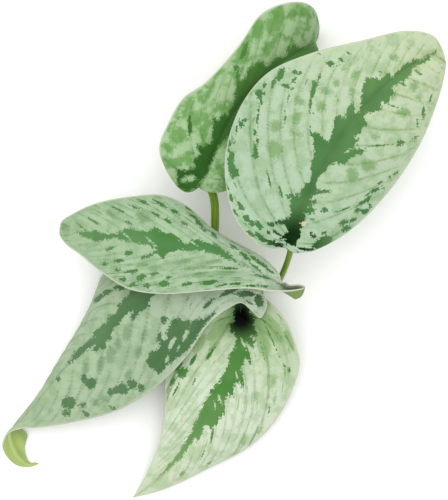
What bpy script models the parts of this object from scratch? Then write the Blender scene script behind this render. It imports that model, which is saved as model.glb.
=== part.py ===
"""A cut spray of satin pothos: five heart-shaped leaves on a short stem that lies on a surface.

Sizes are real ones in millimetres, turned into metres as each mesh is made. X runs to the right, Y away
and Z up. Each blade is laid out by three curves: its midrib and its left and right margins, both as seen
from the petiole towards the tip.
"""

import math

import bmesh
import bpy
from mathutils import Vector

MM = 0.001
PLAN_X, PLAN_Y = -1.2, -1.0  # where the middle of the whole spray's plan lies in the curves' own layout

BLADE_T = 0.75  # thickness of a blade between its veins
MIDRIB_T = 1.5  # thickness of a blade under its midrib
LOBE_ROWS = 12  # veins that fan out of the base into each basal lobe
MAIN_ROWS = 19  # veins along the midrib
STEPS = 6  # steps from the midrib to the margin
FLOOR = 0.76  # lowest height of a blade's upper face

FOOT_SWELL = 0.3  # how much wider a petiole is at the stem, as a share of its radius
PETIOLE_SIDES = 12
PETIOLE_RINGS = 15
STEM_R = 2.5
STEM_SIDES = 16
STEM_RINGS = 44
GAP = 0.35  # clear air between neighbouring nodes

# Every leaf: its midrib, its margins from the sinus to the tip, the share of each margin that belongs to
# the basal lobe, and how far each half bulges between midrib and margin. A roll moves the middles of the
# veins round one place by a vector: its side, its place and spread as shares of the rows, and the vector.
LEAVES = {
    "blade_1": dict(
        sinus=(-8.8, 22.3, 26.0),
        midrib=((-7, 26, 27), (-3, 35.5, 27), (2, 46, 27.5), (8.5, 55.5, 27), (17, 64, 24.5), (25.5, 70.5, 19),
                (31.5, 74.5, 11), (33.8, 76.5, 3.5), (33, 78.5, 0.8)),
        left=((-9.5, 22, 26.5), (-13, 20.5, 25), (-17, 23, 24), (-23, 35.5, 28), (-20, 45, 26.5),
              (-14.5, 54.5, 25), (-7, 59.5, 27), (5, 72.5, 28), (13.5, 84.5, 26.5), (23.5, 89, 22),
              (31, 89, 14.5), (34.5, 85, 6), (34, 80.5, 2)),
        right=((-8, 21.5, 25), (-4, 20.5, 25), (1.5, 21.5, 25), (13.5, 31.5, 24), (21, 42.5, 22),
               (27.5, 52, 20), (32.5, 63.5, 15), (34.8, 72.5, 6)),
        lobe=(0.22, 0.3),
        bulge=(2.0, 1.5),
    ),
    "blade_2": dict(
        sinus=(6.2, -20.5, 13.5),
        midrib=((6, -24.5, 11), (5.5, -30, 12.5), (3.5, -39, 14), (0.5, -47, 14.5), (-4.5, -57, 14),
                (-10, -66.5, 12), (-17, -76, 8.5), (-24.5, -84.5, 4), (-33.5, -91.5, 0.8)),
        left=((9.5, -19.8, 15), (14, -17.6, 17.6), (18, -20.5, 18.5), (23, -27, 17), (26, -35, 14.5),
              (27.5, -41.5, 12), (25, -51, 8.5), (18.5, -63, 5.5), (9, -72.5, 4), (-5, -80, 3.2),
              (-21.5, -88, 2)),
        right=((3, -20.5, 15), (-2, -20, 17), (-8.5, -24, 17.5), (-14.5, -30.5, 16.5), (-19, -39, 14.5),
               (-21.5, -48, 12.5), (-21.5, -56.5, 11.5), (-23.5, -70, 9.5), (-28.5, -82, 5.5)),
        lobe=(0.3, 0.35),
        bulge=(1.5, 1.5),
    ),
    "blade_3": dict(
        sinus=(21.2, -11.6, 37),
        midrib=((19.5, -12, 37), (12, -7.5, 39), (3, -3, 41), (-6.5, -0.5, 42.5), (-19, 1.5, 42),
                (-33, 3.5, 39), (-45.5, 5.5, 34), (-55, 7, 28), (-59, 8, 23)),
        left=((23, -12.5, 37), (26.5, -12.5, 37), (28, -13, 38.5), (26.5, -13.5, 40.5), (22.5, -14, 41.5),
              (16, -14, 40.5), (7.5, -13.5, 38), (-6.5, -14.5, 37), (-21, -15.5, 36.5), (-33, -14, 35),
              (-42, -9, 32.5), (-51.5, -1.5, 28), (-56.5, 2, 25), (-59, 5.5, 23.5)),
        right=((20, -10.5, 37), (19.5, -8.5, 36), (15, -3.5, 34.5), (9.2, 0.2, 34), (5.5, 2, 33.5), (-4.5, 8, 32),
               (-13, 15.5, 30), (-22, 19.5, 30), (-33.5, 19, 30.5), (-46, 16.5, 29.5), (-54, 13, 26.5),
               (-58, 10.5, 24.5)),
        lobe=(0.2, 0.08),
        bulge=(0.5, 2.0),
        rolls=(("left", 0.17, 0.11, (2.2, -4.2, -6)),),
    ),
    "blade_4": dict(
        sinus=(13.3, -14, 21),
        midrib=((11, -14.5, 21), (4, -13.5, 23.5), (-7, -12.5, 26), (-19, -12.5, 27.5), (-30.5, -15.5, 27.5),
                (-40.5, -24.5, 25.5), (-50, -34, 22), (-59.5, -44.5, 17), (-67.5, -54.5, 12),
                (-74.5, -62.5, 7.5), (-79, -67, 5), (-78.5, -71, 3.5), (-76.5, -75.5, 2.5), (-73, -79, 1.5),
                (-68.5, -79, 0.8)),
        left=((13.5, -16, 22), (15.2, -19, 22), (14.8, -22, 20), (13, -24.6, 18.5), (9.5, -21.5, 19.5),
              (6, -19, 22), (1.5, -21, 23), (-5, -26, 22.5), (-14.5, -39.5, 19.5), (-26.5, -51, 17),
              (-39.5, -58.5, 15), (-54, -62.5, 12.5), (-68, -65, 9), (-74.5, -65.5, 7.5), (-79.5, -67.5, 6),
              (-81.5, -71.5, 4.5), (-80, -76, 3), (-76, -79.5, 2), (-71.5, -80, 1.2)),
        right=((12, -12, 20), (9.5, -9, 19), (0.5, -6, 17), (-14, -3.5, 15), (-28.5, -3.5, 13), (-39.5, -5, 11),
               (-44.5, -9, 9), (-47, -15, 8), (-51, -25, 7), (-59.5, -40.5, 5), (-66, -51.5, 4.5),
               (-74.5, -62, 3), (-74.5, -65.5, 1.8), (-72.5, -68, 1.2), (-73.5, -72.5, 1), (-73, -76, 0.8),
               (-71.5, -78.5, 0.8)),
        lobe=(0.2, 0.12),
        bulge=(1.5, 2.5),
    ),
    "blade_5": dict(
        sinus=(22, 0.8, 37),
        midrib=((24, 3, 36), (26.5, 11.5, 38), (30.5, 21.5, 40.5), (36.5, 32.5, 42.5), (44.5, 44.5, 43.5),
                (54.5, 55.5, 42), (65.5, 64.5, 38), (73.5, 69, 34), (79, 66.5, 30)),
        left=((20, 0.8, 37.3), (17, 0.5, 38), (11.5, 2.5, 39.5), (4, 11, 40.5), (0.5, 24, 41), (1, 36.5, 41),
              (6.5, 51.5, 41.5), (15.5, 62, 43), (30, 68.5, 44), (47.5, 73, 43), (64.5, 77, 39),
              (74, 75.5, 35), (77.5, 71, 32)),
        right=((23, -0.2, 37), (25.5, -1, 37), (32.5, 0, 35), (45.5, 7.5, 31.5), (59.5, 22, 30.5),
               (69.5, 37.5, 31), (75, 50.5, 31), (78, 60.5, 30.5)),
        lobe=(0.34, 0.2),
        bulge=(2.0, 2.5),
    ),
}

# The line down the middle of the stem, and the X of each node, where a leaf joins it
STEM_LINE = ((-34.5, -8, 2.05), (-21.5, -9.5, 2.05), (-9, -10.5, 2.05), (5, -11, 2.05), (14.5, -11, 2.05))
STEM_NODES = (-20.0, -11.0, -1.0, 7.0, 13.5)

# Each petiole leaves the stem at its first point. Its end is worked out from the blade that it carries.
PETIOLES = {
    "petiole_1": dict(blade="blade_1", radius=1.5, points=(
        (-19.5, -6.2, 3.2), (-18.8, -4.6, 3.6), (-15, -1, 6.5), (-8.5, 2.5, 11), (-4, 5.5, 14.5),
        (-3.2, 12, 18.5), (-4, 20, 22))),
    "petiole_2": dict(blade="blade_2", radius=1.4, points=(
        (-11, -13.9, 3.2), (-10.4, -15.6, 3.3), (-7, -19, 3.6), (-1, -22, 4.6), (3, -23.5, 6.5))),
    "petiole_3": dict(blade="blade_3", radius=1.3, points=(
        (-1, -7.4, 3.2), (-0.4, -5.8, 3.5), (4, -4.6, 6.5), (10, -6, 15.5), (15, -9.5, 26))),
    "petiole_4": dict(blade="blade_4", radius=1.4, points=(
        (12.6, -14.8, 3.3), (12.8, -15.3, 5), (13, -15.4, 10), (12.6, -15, 15.5))),
    "petiole_5": dict(blade="blade_5", radius=1.15, points=(
        (15.3, -11, 3.0), (16.5, -11.3, 3.3), (18.6, -12.3, 5.6), (19.7, -12.2, 9), (20.1, -10.9, 12.5),
        (21.6, -7.2, 20), (22.7, -3.6, 26), (23.4, -0.7, 30))),
}


def along(points, count, fine=24):
    """count + 1 points at even distances along a smooth curve through the points (centripetal Catmull-Rom)."""
    p = [Vector(q) for q in points]
    p = [p[0] * 2 - p[1], *p, p[-1] * 2 - p[-2]]
    dense = []
    for a, b, c, d in zip(p, p[1:], p[2:], p[3:]):
        t1 = (b - a).length ** 0.5
        t2 = t1 + (c - b).length ** 0.5
        t3 = t2 + (d - c).length ** 0.5
        for k in range(fine):
            t = t1 + (t2 - t1) * k / fine
            ab = a.lerp(b, t / t1)
            bc = b.lerp(c, (t - t1) / (t2 - t1))
            cd = c.lerp(d, (t - t2) / (t3 - t2))
            dense.append(ab.lerp(bc, t / t2).lerp(bc.lerp(cd, (t - t1) / (t3 - t1)), (t - t1) / (t2 - t1)))
    dense.append(p[-2].copy())
    reach = [0.0]
    for a, b in zip(dense, dense[1:]):
        reach.append(reach[-1] + (b - a).length)
    out = []
    k = 0
    for i in range(count + 1):
        want = reach[-1] * i / count
        while k < len(dense) - 2 and reach[k + 1] < want:
            k += 1
        share = (want - reach[k]) / max(reach[k + 1] - reach[k], 1e-9)
        out.append(dense[k].lerp(dense[k + 1], min(max(share, 0.0), 1.0)))
    return out


def at(line, share):
    """The point at a share of the way along a list of evenly spaced points."""
    k = min(int(share * (len(line) - 1)), len(line) - 2)
    return line[k].lerp(line[k + 1], share * (len(line) - 1) - k)


def half_rows(leaf, side):
    """The rows of one half of a blade: each runs from the midrib, or from the base, out to the margin."""
    midrib = along(leaf["midrib"], 240)
    edge = along((leaf["sinus"], *leaf[side], leaf["midrib"][-1]), 480)
    k = 0 if side == "left" else 1
    lobe, bulge = leaf["lobe"][k], leaf["bulge"][k]
    rows = []
    for i in range(LOBE_ROWS + MAIN_ROWS + 1):
        g = max(0.0, (i - LOBE_ROWS) / MAIN_ROWS)
        t = lobe * i / LOBE_ROWS if i < LOBE_ROWS else lobe + (1 - lobe) * g
        foot, rim = at(midrib, g), at(edge, t)
        ahead = at(midrib, min(1.0, g + 0.03)) - at(midrib, max(0.0, g - 0.03))
        out = rim - foot
        up = ahead.cross(out) if side == "left" else out.cross(ahead)
        if up.length > 1e-6:
            up.normalize()
        rise = bulge * math.sin(math.pi * min(1.0, 2.2 * t)) ** 0.5 if t < 0.227 else bulge
        rise *= min(1.0, out.length / 18)
        if i == 0 or out.length < 1e-6:
            rise = 0.0
        belly = up * rise
        for which, place, spread, move in leaf.get("rolls", ()):
            if which == side and i > 0:
                belly = belly + Vector(move) * math.exp(-((i / (LOBE_ROWS + MAIN_ROWS) - place) / spread) ** 2)
        rows.append([foot + out * (j / STEPS) + belly * math.sin(math.pi * j / STEPS)
                     for j in range(STEPS + 1)])
    return rows


def sheet(leaf):
    """The upper face of a blade as vertices, faces and how much each vertex is thickened as midrib, 0 to 1."""
    left, right = half_rows(leaf, "left"), half_rows(leaf, "right")
    points, ribs, index = [], [], {}

    def vertex(p, rib):
        key = (round(p.x, 3), round(p.y, 3), round(p.z, 3))
        if key not in index:
            index[key] = len(points)
            points.append(Vector((p.x, p.y, max(p.z, FLOOR))))
            ribs.append(rib)
        return index[key]

    faces = []
    for rows, turned in ((left, False), (right, True)):
        net = []
        for i, row in enumerate(rows):
            rib = 1 - max(0, i - LOBE_ROWS) / MAIN_ROWS
            net.append([vertex(p, 0 if j else rib) for j, p in enumerate(row)])
        for a, b in zip(net, net[1:]):
            for j in range(STEPS):
                ring = [a[j], b[j], b[j + 1], a[j + 1]]
                ring = [v for n, v in enumerate(ring) if v not in ring[:n]]
                if len(ring) > 2:
                    faces.append(ring[::-1] if turned else ring)
    return points, faces, ribs


def new_object(name, bm, material):
    mesh = bpy.data.meshes.new(name)
    bm.to_mesh(mesh)
    bm.free()
    mesh.materials.append(material)
    made = bpy.data.objects.new(name, mesh)
    bpy.context.scene.collection.objects.link(made)
    return made


def to_metres(p):
    return Vector((p.x - PLAN_X, p.y - PLAN_Y, p.z)) * MM


def blade(name, leaf, material):
    points, faces, ribs = sheet(leaf)
    bm = bmesh.new()
    verts = [bm.verts.new(to_metres(p)) for p in points]
    for ring in faces:
        bm.faces.new([verts[v] for v in ring])
    bmesh.ops.triangulate(bm, faces=bm.faces[:], quad_method="SHORT_EDGE")
    made = new_object(name, bm, material)
    group = made.vertex_groups.new(name="midrib")
    for v, rib in enumerate(ribs):
        group.add([v], rib, "REPLACE")
    solid = made.modifiers.new("thickness", "SOLIDIFY")
    solid.thickness = MIDRIB_T * MM
    solid.offset = -1.0
    solid.use_even_offset = False
    solid.vertex_group = "midrib"
    solid.thickness_vertex_group = BLADE_T / MIDRIB_T
    whole = bpy.data.meshes.new_from_object(made.evaluated_get(bpy.context.evaluated_depsgraph_get()))
    made.modifiers.clear()
    made.data = whole
    for v in whole.vertices:
        v.co.z = max(v.co.z, 0.0)
    return made


def tube(name, line, radius, sides, material, floor=None):
    """A closed tube along the points, with radius(share) and flat ends. Below floor it is cut flat."""
    bm = bmesh.new()
    rings = []
    side = None
    for i, p in enumerate(line):
        ahead = (line[min(i + 1, len(line) - 1)] - line[max(i - 1, 0)]).normalized()
        side = ahead.cross(Vector((0, 0, 1))) if side is None else side - ahead * side.dot(ahead)
        side.normalize()
        top = side.cross(ahead)
        ring = []
        for k in range(sides):
            turn = 2 * math.pi * (k + 0.5) / sides
            q = p + (side * math.cos(turn) + top * math.sin(turn)) * radius(i / (len(line) - 1))
            if floor is not None:
                q.z = max(q.z, floor)
            ring.append(bm.verts.new(to_metres(q)))
        rings.append(ring)
    for a, b in zip(rings, rings[1:]):
        for k in range(sides):
            n = (k + 1) % sides
            bm.faces.new((a[k], a[n], b[n], b[k]))
    bm.faces.new(rings[0][::-1])
    bm.faces.new(rings[-1])
    bmesh.ops.triangulate(bm, faces=bm.faces[:])
    bmesh.ops.recalc_face_normals(bm, faces=bm.faces[:])
    return new_object(name, bm, material)


def blade_up(leaf):
    """The direction straight out of a blade's upper face at its base."""
    base = Vector(leaf["midrib"][0])
    ahead = Vector(leaf["midrib"][1]) - base
    left = at(along((leaf["sinus"], *leaf["left"]), 100), leaf["lobe"][0]) - base
    right = at(along((leaf["sinus"], *leaf["right"]), 100), leaf["lobe"][1]) - base
    return (ahead.cross(left).normalized() + right.cross(ahead).normalized()).normalized()


def petiole(name, material):
    plan = PETIOLES[name]
    leaf = LEAVES[plan["blade"]]
    up = blade_up(leaf)
    base = Vector(leaf["midrib"][0])
    ahead = (base - Vector(plan["points"][-1])).normalized()
    slant = math.sqrt(max(0.0, 1 - ahead.dot(up) ** 2))
    end = base - up * (MIDRIB_T + GAP + plan["radius"] * slant)

    def radius(share):
        return plan["radius"] * (1 + FOOT_SWELL * max(0.0, 1 - share / 0.25) ** 2)

    return tube(name, along((*plan["points"], end), PETIOLE_RINGS), radius, PETIOLE_SIDES, material)


def stem(material):
    line = along(STEM_LINE, STEM_RINGS)

    def radius(share):
        x = at(line, share).x
        knot = max(math.exp(-((x - n) / 1.3) ** 2) for n in STEM_NODES)
        end = max(0.0, (share - 0.95) / 0.05)
        return (STEM_R + 0.35 * knot) * (1 - 0.3 * end * end)

    return tube("stem", line, radius, STEM_SIDES, material, floor=0.0)


def look(name, colour, roughness):
    made = bpy.data.materials.new(name)
    made.use_nodes = True
    shader = made.node_tree.nodes["Principled BSDF"]
    shader.inputs["Base Color"].default_value = (*colour, 1)
    shader.inputs["Roughness"].default_value = roughness
    return made


def main():
    for old in list(bpy.data.objects):
        bpy.data.objects.remove(old)
    leaf_look = look("blade", (0.36, 0.52, 0.33), 0.5)
    petiole_look = look("petiole", (0.26, 0.42, 0.07), 0.45)
    stem_look = look("stem", (0.22, 0.34, 0.09), 0.5)
    for name, leaf in LEAVES.items():
        blade(name, leaf, leaf_look)
    for name in PETIOLES:
        petiole(name, petiole_look)
    stem(stem_look)


main()
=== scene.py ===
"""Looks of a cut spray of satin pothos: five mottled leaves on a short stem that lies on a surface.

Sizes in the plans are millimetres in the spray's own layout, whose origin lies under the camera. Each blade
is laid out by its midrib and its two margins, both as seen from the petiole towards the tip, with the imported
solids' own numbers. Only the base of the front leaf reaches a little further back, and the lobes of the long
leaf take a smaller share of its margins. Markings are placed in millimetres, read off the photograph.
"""

import logging
import math
from dataclasses import dataclass, field
from enum import Enum, IntEnum

import bpy
import numpy as np
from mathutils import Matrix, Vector

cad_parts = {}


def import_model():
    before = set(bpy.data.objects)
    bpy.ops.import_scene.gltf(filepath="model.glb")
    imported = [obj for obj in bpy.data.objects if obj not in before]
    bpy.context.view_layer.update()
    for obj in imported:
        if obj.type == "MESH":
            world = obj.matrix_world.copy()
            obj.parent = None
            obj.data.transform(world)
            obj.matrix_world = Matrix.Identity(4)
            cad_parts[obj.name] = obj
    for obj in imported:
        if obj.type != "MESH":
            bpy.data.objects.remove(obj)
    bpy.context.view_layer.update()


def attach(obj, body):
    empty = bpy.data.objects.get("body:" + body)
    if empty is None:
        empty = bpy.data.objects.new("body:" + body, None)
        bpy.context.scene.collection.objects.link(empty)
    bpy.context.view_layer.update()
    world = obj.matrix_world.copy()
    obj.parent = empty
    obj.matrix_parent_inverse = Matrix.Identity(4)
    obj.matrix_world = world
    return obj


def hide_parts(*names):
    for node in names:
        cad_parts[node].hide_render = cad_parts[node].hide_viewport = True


Point = tuple[float, float, float]
Outline = tuple[tuple[float, float], ...]
Array = np.ndarray
Socket = bpy.types.NodeSocket
Value = Socket | Point | float | str  # another node's output, a vector, a number or a colour's code
log = logging.getLogger("satin_pothos")

MM = 0.001
PLAN_X, PLAN_Y = -1.2, -1.0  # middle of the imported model's plan in the layout
EYE_MM = 770.0  # height of the camera above the surface
PHOTO_MM = 0.36  # width of a photo pixel at PHOTO_LEVEL_MM above the surface
PHOTO_LEVEL_MM = 20.0
PHOTO_ROWS = 500

LIGHT_LEVEL = 1.45  # how much brighter a level matt surface looks than its own colour
GLOSS_VEIL = 0.009  # what the leaves' gloss adds to every colour
DARKEST = 0.002

LOBE_SHARE = 12 / 31  # share of the rows that fan out of the base into the basal lobes
ROWS, COLUMNS = 240, 60  # of a blade's net: rows from base to tip, columns from midrib to margin
AIM = 0.03  # share of the midrib, each way, over which its direction is taken
FULL_WIDTH_MM = 18.0  # a blade's half bulges less where it is narrower than this
FLOOR_MM = 0.7  # lowest height of a blade's upper face
BLADE_T, MIDRIB_T = 0.55, 1.5
VEIN_STEP = 7.5  # distance between neighbouring side veins
JOIN_MM = 0.002  # points nearer than this become one
EDGE_RAMP_MM = 5.0  # a marking's strength falls from 1 to 0 over this distance, with its edge midway
HARD_EDGE = math.radians(50)  # a tube's edges sharper than this stay sharp
CHANNEL_WIDE = 0.55  # half width of a petiole's channel, in radians round it

# How often each noise changes: in a metre of space, or in a millimetre across and along the side veins.
BROAD, CLOUD, RAGGED, FINE, SPECKLE = ((often,) * 3 for often in (70, 190, 420, 1400, 900))
TEETH, FLECK, DAPPLE, STREAK = (0.62, 0.2, 1), (0.7, 0.3, 1), (0.12, 0.06, 1), (3.0, 0.06, 1)


class Face(IntEnum):
    """Material slots of a blade."""

    UPPER = 0
    UNDER = 1
    RIM = 2


class Half(IntEnum):
    """The two halves of a blade, as seen from its petiole."""

    LEFT = 0
    RIGHT = 1


class Tint(Enum):
    """What a patch does to a blade's silver."""

    DARK = "dark"  # a firm dark blotch
    SOFT = "soft"  # a blurred mid-green one
    PALE = "pale"  # silver that shows through a dark zone
    SCAR = "scar"  # a dry tan scratch or speck


@dataclass(frozen=True)
class Patch:
    """A patch drawn out along the side veins, placed as seen from the camera at PHOTO_LEVEL_MM."""

    x: float
    y: float
    long: float  # half its length along the veins
    wide: float  # half its width across them
    tint: Tint


def marks(tint: Tint, *places: tuple[float, float, float, float]) -> tuple[Patch, ...]:
    """Patches of one tint, each from its place, half length and half width."""
    return tuple(Patch(*place, tint) for place in places)


@dataclass(frozen=True)
class BladePlan:
    """A blade's layout and markings."""

    name: str
    sinus: Point
    midrib: tuple[Point, ...]
    left: tuple[Point, ...]
    right: tuple[Point, ...]
    lobe: tuple[float, float]  # share of each margin that belongs to the basal lobe
    bulge: tuple[float, float]  # how far each half bulges
    rolls: tuple[tuple[Half, float, float, Point], ...] = ()  # half, place and spread in the rows, move
    zones: tuple[Outline, ...] = ()  # outlines of the large dark zones, as seen like the patches
    patches: tuple[Patch, ...] = ()
    lead: float = 0.17  # share of the rows by which a side vein has run ahead when it meets the margin
    sweep: float = 1.8  # how late on its way it turns forwards
    dark_base_and_shade_reach: float = 15.0  # how far from the base the darkest green and its painted shade reach
    seed: float = 0.0


def tone(code: str) -> Point:
    """The surface colour that looks a given way under the studio's light.

    Args:
        code: six hexadecimal digits of the colour as a screen shows it.

    Returns:
        Linear red, green and blue of the surface, with the gloss and the light's strength taken off.
    """
    parts = [int(code[i:i + 2], 16) / 255 for i in (0, 2, 4)]
    linear = [c / 12.92 if c <= 0.04045 else ((c + 0.055) / 1.055) ** 2.4 for c in parts]
    r, g, b = (max(DARKEST, c - GLOSS_VEIL) / LIGHT_LEVEL for c in linear)
    return r, g, b


def smooth_line(points: tuple[Point, ...], count: int, fine: int = 24) -> Array:
    """Even points along a smooth curve (centripetal Catmull-Rom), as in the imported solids.

    Args:
        points: the points that the curve goes through, mm.
        count: how many equal steps it is cut into.
        fine: steps between two points before that.

    Returns:
        An array of count + 1 points.
    """
    p = np.array(points, float)
    p = np.vstack([2 * p[0] - p[1], p, 2 * p[-1] - p[-2]])
    knots = np.concatenate([[0], np.cumsum(np.linalg.norm(np.diff(p, axis=0), axis=1) ** 0.5)])
    dense = []
    for k in range(len(p) - 3):
        a, b, c, d = p[k:k + 4]
        t0, t1, t2, t3 = knots[k:k + 4]
        t = np.linspace(t1, t2, fine, endpoint=False)[:, None]
        ab = a + (b - a) * (t - t0) / (t1 - t0)
        bc = b + (c - b) * (t - t1) / (t2 - t1)
        cd = c + (d - c) * (t - t2) / (t3 - t2)
        abc = ab + (bc - ab) * (t - t0) / (t2 - t0)
        bcd = bc + (cd - bc) * (t - t1) / (t3 - t1)
        dense.append(abc + (bcd - abc) * (t - t1) / (t2 - t1))
    line = np.vstack([*dense, p[-2][None]])
    reach = np.concatenate([[0], np.cumsum(np.linalg.norm(np.diff(line, axis=0), axis=1))])
    want = np.linspace(0, reach[-1], count + 1)
    return np.stack([np.interp(want, reach, line[:, i]) for i in range(3)], axis=1)


def at(line: Array, share: Array) -> Array:
    """Evenly spaced points read at shares of the way along them, 0 to 1."""
    steps = np.linspace(0, 1, len(line))
    return np.stack([np.interp(share, steps, line[:, i]) for i in range(3)], axis=-1)


def unit(v: Array) -> Array:
    """The vectors at length one, or zero where they have none."""
    size = np.linalg.norm(v, axis=-1, keepdims=True)
    return np.where(size > 1e-6, v / np.maximum(size, 1e-6), 0.0)


def step(value: Array, low: float, high: float) -> Array:
    """0 below low, 1 above high, and smooth between them."""
    t = np.clip((value - low) / (high - low), 0, 1)
    return t * t * (3 - 2 * t)


def bell(offset: Array, wide: float) -> Array:
    """A smooth hump, 1 high at zero and about a third as high at its half width."""
    return np.exp(-((offset / wide) ** 2))


def past_lobe(w: Array) -> Array:
    """Shares of the midrib at shares of the rows: 0 as far as the basal lobes fan out."""
    return np.clip((w - LOBE_SHARE) / (1 - LOBE_SHARE), 0, 1)


def on_vein(across: Array) -> Array:
    """1 on a side vein and 0 midway between two, by the distance across the veins."""
    return np.abs((across / VEIN_STEP) % 1 - 0.5) * 2


def seen_from_above(points: Array) -> Array:
    """Where the camera sees layout points, carried to PHOTO_LEVEL_MM."""
    return points[..., :2] * ((EYE_MM - PHOTO_LEVEL_MM) / (EYE_MM - points[..., 2]))[..., None]


def depth_inside(points: Array, outline: Outline) -> Array:
    """How far points lie inside an outline.

    Args:
        points: places on the plane.
        outline: its corners in order.

    Returns:
        The distance to the outline, below zero outside it.
    """
    near = np.full(points.shape[:-1], np.inf)
    inside = np.zeros(points.shape[:-1], bool)
    corners = np.array(outline)
    x, y = points[..., 0], points[..., 1]
    for a, b in zip(corners, np.roll(corners, -1, axis=0)):
        edge = b - a
        share = np.clip(((points - a) @ edge) / (edge @ edge), 0, 1)
        near = np.minimum(near, np.linalg.norm(points - a - share[..., None] * edge, axis=-1))
        if a[1] != b[1]:
            inside ^= ((a[1] > y) != (b[1] > y)) & (x < a[0] + (y - a[1]) * edge[0] / edge[1])
    return np.where(inside, near, -near)


def deselect() -> None:
    """Nothing is selected or in edit mode afterwards."""
    if bpy.context.object and bpy.context.object.mode != "OBJECT":
        bpy.ops.object.mode_set(mode="OBJECT")
    bpy.ops.object.select_all(action="DESELECT")


def net_object(name: str, points: Array) -> bpy.types.Object:
    """A grid primitive whose points are placed on a net.

    Args:
        name: the object's name.
        points: rows by columns of points in the layout, mm.

    Returns:
        The object, selected and active.
    """
    rows, columns = points.shape[:2]
    deselect()
    bpy.ops.mesh.primitive_grid_add(x_subdivisions=columns - 1, y_subdivisions=rows - 1, size=1.0)
    made = bpy.context.object
    made.name = made.data.name = name
    place = (points - np.array([PLAN_X, PLAN_Y, 0.0])) * MM
    made.data.vertices.foreach_set("co", place.reshape(-1))
    made.data.update()
    return made


def join_points() -> None:
    """Goes into edit mode and joins the points of the active net that lie on each other."""
    bpy.ops.object.mode_set(mode="EDIT")
    bpy.ops.mesh.select_mode(type="VERT")
    bpy.ops.mesh.select_all(action="SELECT")
    bpy.ops.mesh.remove_doubles(threshold=JOIN_MM * MM)


def add_values(mesh: bpy.types.Mesh, **values: Array) -> None:
    """Stores numbers on a mesh's points.

    Args:
        mesh: the mesh.
        values: a number for each point, under the name that it gets.
    """
    for name, array in values.items():
        layer = mesh.attributes.new(name, "FLOAT", "POINT")
        layer.data.foreach_set("value", array.reshape(-1).astype(np.float32))


def add_uv(mesh: bpy.types.Mesh, name: str, u: Array, v: Array) -> None:
    """Lays a UV map over a mesh.

    Args:
        mesh: the mesh.
        name: the map's name.
        u: the map's first number at each point.
        v: its second one.
    """
    layer = mesh.uv_layers.new(name=name)
    corners = np.empty(len(mesh.loops), np.int32)
    mesh.loops.foreach_get("vertex_index", corners)
    pairs = np.stack([u.reshape(-1)[corners], v.reshape(-1)[corners]], axis=1)
    layer.uv.foreach_set("vector", pairs.reshape(-1))


class Shader:
    """Builds one material's nodes."""

    def __init__(self, name: str, roughness: float, gloss: float = 0.05) -> None:
        """Starts a Principled material.

        Args:
            name: the material's name.
            roughness: of the whole surface.
            gloss: how much the surface mirrors, 0.5 being plain plastic.
        """
        self.material = bpy.data.materials.new(name)
        self.material.use_nodes = True
        self.tree = self.material.node_tree
        self.surface = self.tree.nodes["Principled BSDF"]
        self.surface.inputs["Roughness"].default_value = roughness
        self.surface.inputs["Specular IOR Level"].default_value = gloss

    def put(self, socket: Socket, value: Value) -> None:
        """Links an input or sets it.

        Args:
            socket: the input.
            value: what it gets, where text is the code of a colour as a screen shows it.
        """
        if isinstance(value, Socket):
            self.tree.links.new(value, socket)
        else:
            socket.default_value = (*tone(value), 1.0) if isinstance(value, str) else value

    def node(self, kind: str, inputs: dict[str | int, Value], **settings: str) -> bpy.types.Node:
        """Adds a node.

        Args:
            kind: its type, without the ShaderNode that starts its name.
            inputs: what its inputs get, by their names or numbers.
            settings: its own properties.

        Returns:
            The node.
        """
        made = self.tree.nodes.new("ShaderNode" + kind)
        for name, setting in settings.items():
            setattr(made, name, setting)
        for key, value in inputs.items():
            self.put(made.inputs[key], value)
        return made

    def math(self, kind: str, a: Value, b: Value) -> Socket:
        """A Math node's result."""
        return self.node("Math", {0: a, 1: b}, operation=kind).outputs[0]

    def plus(self, a: Value, b: Value) -> Socket:
        """The sum of two numbers."""
        return self.math("ADD", a, b)

    def times(self, a: Value, b: Value) -> Socket:
        """The product of two numbers."""
        return self.math("MULTIPLY", a, b)

    def sway(self, noise: Value, reach: float) -> Socket:
        """Noise moved from round 0.5 to round zero, and scaled."""
        return self.times(self.math("SUBTRACT", noise, 0.5), reach)

    def blend(self, share: float, a: Value, b: Value) -> Socket:
        """Number a turned into b by share."""
        return self.plus(self.times(a, 1 - share), self.times(b, share))

    def mix(self, share: Value, a: Value, b: Value) -> Socket:
        """Colour a turned into b by share."""
        return self.node("Mix", {0: share, 6: a, 7: b}, data_type="RGBA").outputs[2]

    def ease(self, value: Value, low: float, high: float) -> Socket:
        """0 to 1 as the value goes from low to high."""
        limits = {"Value": value, "From Min": low, "From Max": high}
        return self.node("MapRange", limits, interpolation_type="SMOOTHSTEP").outputs["Result"]

    def value(self, name: str) -> Socket:
        """A number stored on the mesh."""
        return self.node("Attribute", {}, attribute_name=name).outputs["Fac"]

    def uv(self, name: str) -> Socket:
        """A UV map."""
        return self.node("UVMap", {}, uv_map=name).outputs["UV"]

    def place(self) -> Socket:
        """The point in the object's own space."""
        return self.node("TexCoord", {}).outputs["Object"]

    def noise(self, where: Value, often: Point, shift: Point, detail: float = 2.0,
              rough: float = 0.5) -> Socket:
        """Noise stretched by its own scale on each axis.

        Args:
            where: the coordinates.
            often: how often it changes along each axis.
            shift: moves it, so that no two pieces match.
            detail: finer layers.
            rough: their strength.

        Returns:
            A number near 0.5.
        """
        moved = self.node("Mapping", {"Vector": where, "Scale": often, "Location": shift}).outputs[0]
        layers = {"Vector": moved, "Scale": 1.0, "Detail": detail, "Roughness": rough}
        return self.node("TexNoise", layers).outputs["Fac"]

    def bump(self, height: Value, strength: float, distance: float) -> None:
        """Raises the surface by a height."""
        raised = self.node("Bump", {"Height": height, "Strength": strength, "Distance": distance})
        self.put(self.surface.inputs["Normal"], raised.outputs[0])

    def painted(self, colour: Value) -> bpy.types.Material:
        """The material, with its surface in this colour."""
        self.put(self.surface.inputs["Base Color"], colour)
        return self.material


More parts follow.
